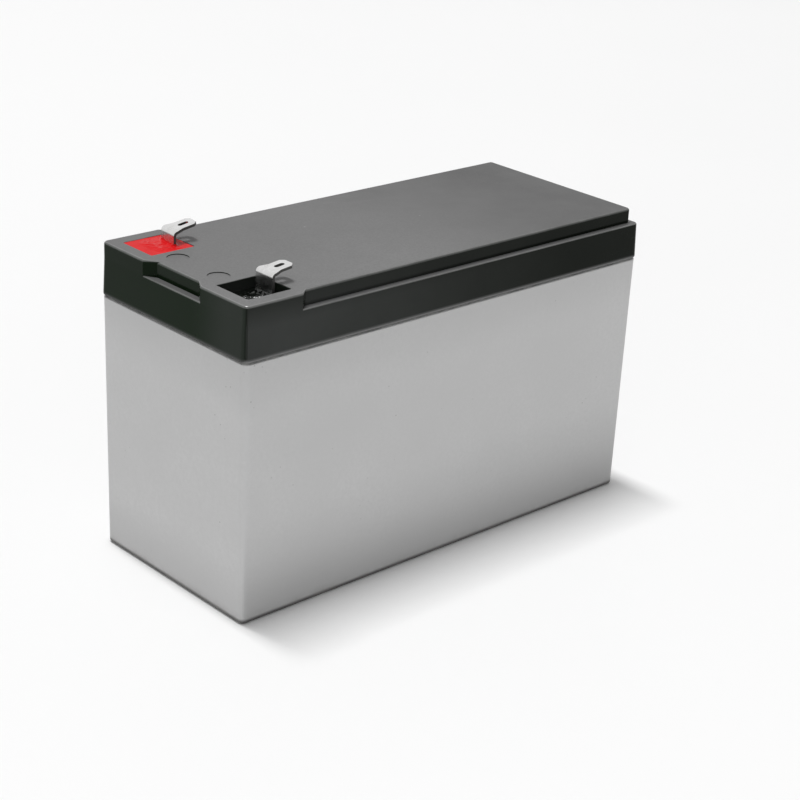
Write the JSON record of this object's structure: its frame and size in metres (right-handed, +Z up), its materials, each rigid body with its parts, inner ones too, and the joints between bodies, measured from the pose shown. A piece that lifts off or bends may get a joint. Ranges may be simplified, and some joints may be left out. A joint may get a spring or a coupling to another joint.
{
  "type": "sealed lead-acid ups battery",
  "caption": "Sealed lead-acid battery for a small backup power supply: grey case, black lid with a ledge and finger recess, push-on tabs in resin-filled pockets at one end.",
  "frame": {"origin": "middle of the base, on the surface that the battery stands on", "axes": "+Z up; +X along the length, away from the end with the two tabs; +Y across the width, towards the positive tab"},
  "size_m": [0.151, 0.065, 0.0972],
  "materials": {
    "case_grey": "light grey moulded ABS, satin",
    "lid_black": "black moulded ABS, glossy on the sides",
    "cover_black": "black moulded ABS, finely textured on top",
    "seam_adhesive": "grey cured adhesive",
    "black_rubber": "black rubber",
    "tinned_tab": "bright tinned metal strip",
    "red_resin": "bright red cured resin",
    "black_resin": "glossy black cured resin",
    "cast_lead": "dull cast lead",
    "positive_plate": "dark brown pasted plate",
    "negative_plate": "grey pasted plate",
    "glass_mat": "white glass fibre mat"
  },
  "bodies": {
    "root": {"container": "case_grey", "lid": "lid_black", "top_cover": "cover_black", "lid_bond": "seam_adhesive", "valve_cap_1": "black_rubber", "valve_cap_2": "black_rubber", "valve_cap_3": "black_rubber", "valve_cap_4": "black_rubber", "valve_cap_5": "black_rubber", "valve_cap_6": "black_rubber", "positive_tab": "tinned_tab", "negative_tab": "tinned_tab", "positive_fill": "red_resin", "negative_fill": "black_resin", "positive_post": "cast_lead", "negative_post": "cast_lead", "positive_seal": "black_rubber", "negative_seal": "black_rubber", "cell_link_1_2": "cast_lead", "cell_link_2_3": "cast_lead", "cell_link_3_4": "cast_lead", "cell_link_4_5": "cast_lead", "cell_link_5_6": "cast_lead", "cell_1_positive_plates": "positive_plate", "cell_1_negative_plates": "negative_plate", "cell_1_separators": "glass_mat", "cell_2_positive_plates": "positive_plate", "cell_2_negative_plates": "negative_plate", "cell_2_separators": "glass_mat", "cell_3_positive_plates": "positive_plate", "cell_3_negative_plates": "negative_plate", "cell_3_separators": "glass_mat", "cell_4_positive_plates": "positive_plate", "cell_4_negative_plates": "negative_plate", "cell_4_separators": "glass_mat", "cell_5_positive_plates": "positive_plate", "cell_5_negative_plates": "negative_plate", "cell_5_separators": "glass_mat", "cell_6_positive_plates": "positive_plate", "cell_6_negative_plates": "negative_plate", "cell_6_separators": "glass_mat"}
  },
  "joints": []
}
